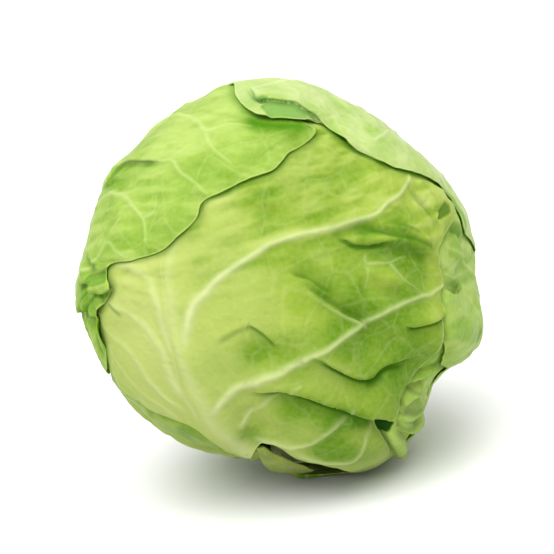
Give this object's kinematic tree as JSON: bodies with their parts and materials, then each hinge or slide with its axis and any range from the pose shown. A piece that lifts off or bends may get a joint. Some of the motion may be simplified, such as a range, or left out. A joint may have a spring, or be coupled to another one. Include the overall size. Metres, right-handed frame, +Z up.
{
  "type": "green cabbage",
  "caption": "Round head of green cabbage: a dense heart on a cut stem, wrapped in large veined outer leaves with wavy free edges.",
  "frame": {"origin": "centre of the box's bottom face, on the surface that the head rests on", "axes": "+Z up, the head's veined front faces -Y, +X to the right of someone who looks at that front"},
  "size_m": [0.1832, 0.1814, 0.1841],
  "materials": {
    "heart": "waxy leaf",
    "stem": "cut stem",
    "leaf_lower_left": "waxy leaf",
    "leaf_back": "waxy leaf",
    "leaf_right": "waxy leaf",
    "leaf_front": "waxy leaf",
    "leaf_left": "waxy leaf",
    "leaf_crown": "waxy leaf"
  },
  "bodies": {
    "root": {"heart": "heart", "stem": "stem", "leaf_lower_left": "leaf_lower_left", "leaf_back": "leaf_back", "leaf_right": "leaf_right", "leaf_front": "leaf_front", "leaf_left": "leaf_left", "leaf_crown": "leaf_crown"}
  },
  "joints": []
}
